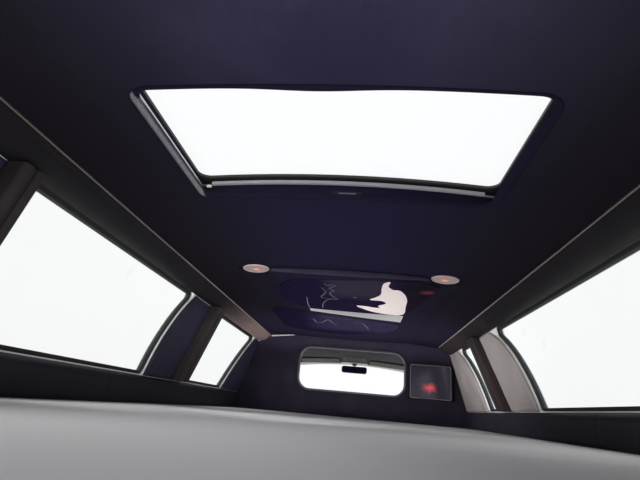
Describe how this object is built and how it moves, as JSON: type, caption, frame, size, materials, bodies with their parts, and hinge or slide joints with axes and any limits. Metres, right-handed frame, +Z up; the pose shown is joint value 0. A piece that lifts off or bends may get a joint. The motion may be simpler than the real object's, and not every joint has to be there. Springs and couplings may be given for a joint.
{
  "type": "limousine roof section",
  "caption": "Roof section of a long passenger car: skin, glazed sides, tilting sunroof, dark headliner, mirrored ceiling and a divider with a window.",
  "frame": {"origin": "on the ground under the middle of the roof, between the undersides of the two sills", "axes": "+X to the right and +Y forward for someone in the cabin who faces the driver, +Z up"},
  "size_m": [1.616, 5.68, 0.584],
  "materials": {
    "body_paint": "gloss",
    "primer": "matt",
    "bright_metal": "polished",
    "seal_rubber": "matt",
    "clear_glass": "clear",
    "roof_glass": "tinted",
    "rim_plastic": "matt",
    "suede": "napped",
    "seal_grey": "satin",
    "smoked_mirror": "polished",
    "silver_inlay": "polished",
    "lamp_ring": "satin",
    "lamp_lens": "frosted",
    "cover_leather": "satin",
    "pad_vinyl": "matt",
    "window_trim": "satin",
    "screen_glass": "gloss",
    "visor_cloth": "flat",
    "console_plastic": "matt"
  },
  "bodies": {
    "roof": {"roof_skin": "body_paint", "side_frame_left": "body_paint", "side_frame_right": "body_paint", "front_header": "body_paint", "rear_header": "body_paint", "roof_bows": "primer", "sunroof_frame": "primer", "drip_mouldings": "bright_metal", "ceiling_moulding": "bright_metal", "window_seals_left": "seal_rubber", "window_seals_right": "seal_rubber", "side_glass_left": "clear_glass", "side_glass_right": "clear_glass", "screen_housing": "rim_plastic", "sunroof_switch": "rim_plastic", "headliner_rear": "suede", "headliner_sunroof_front": "suede", "headliner_sunroof_rear": "suede", "headliner_sunroof_left": "suede", "headliner_sunroof_right": "suede", "headliner_cabin": "suede", "headliner_front": "suede", "ceiling_panel": "suede", "sunroof_opening_trim": "suede", "sunroof_front_seal": "seal_grey", "sunroof_side_seals": "seal_grey", "ceiling_mirror_rear": "smoked_mirror", "ceiling_mirror_front": "smoked_mirror", "ceiling_inlay": "silver_inlay", "lamp_ring_left": "lamp_ring", "lamp_ring_right": "lamp_ring", "lamp_lens_left": "lamp_lens", "lamp_lens_right": "lamp_lens", "rail_cover_left": "cover_leather", "rail_cover_right": "cover_leather", "pillar_posts_left": "cover_leather", "pillar_posts_right": "cover_leather", "pillar_pads_left": "pad_vinyl", "pillar_pads_right": "pad_vinyl", "sill_cover_left": "pad_vinyl", "sill_cover_right": "pad_vinyl", "divider": "pad_vinyl", "divider_window_trim": "window_trim", "screen": "screen_glass", "overhead_console": "console_plastic", "visor_brackets": "console_plastic", "rear_view_mirror": "console_plastic"},
    "sunroof_lid": {"sunroof_glass": "roof_glass", "sunroof_rim": "rim_plastic"},
    "shade": {"sunroof_shade": "suede"},
    "visor_left": {"visor_left": "visor_cloth"},
    "visor_right": {"visor_right": "visor_cloth"}
  },
  "joints": [
    {"name": "sunroof_tilt", "type": "hinge", "parent": "roof", "child": "sunroof_lid", "pos_m": [0, -0.882, 0.55672], "axis": [-1, 0, 0], "range_deg": [0, 5.5]},
    {"name": "shade_slide", "type": "slide", "parent": "roof", "child": "shade", "axis": [0, 1, 0], "range_m": [0, 0.3767]},
    {"name": "visor_left_turn", "type": "hinge", "parent": "roof", "child": "visor_left", "pos_m": [-0.32, 2.55054, 0.45744], "axis": [0.9983, 0.0065, 0.0579], "range_deg": [0, 110]},
    {"name": "visor_right_turn", "type": "hinge", "parent": "roof", "child": "visor_right", "pos_m": [0.32, 2.55054, 0.45744], "axis": [0.9983, -0.0065, -0.0579], "range_deg": [0, 110]}
  ]
}
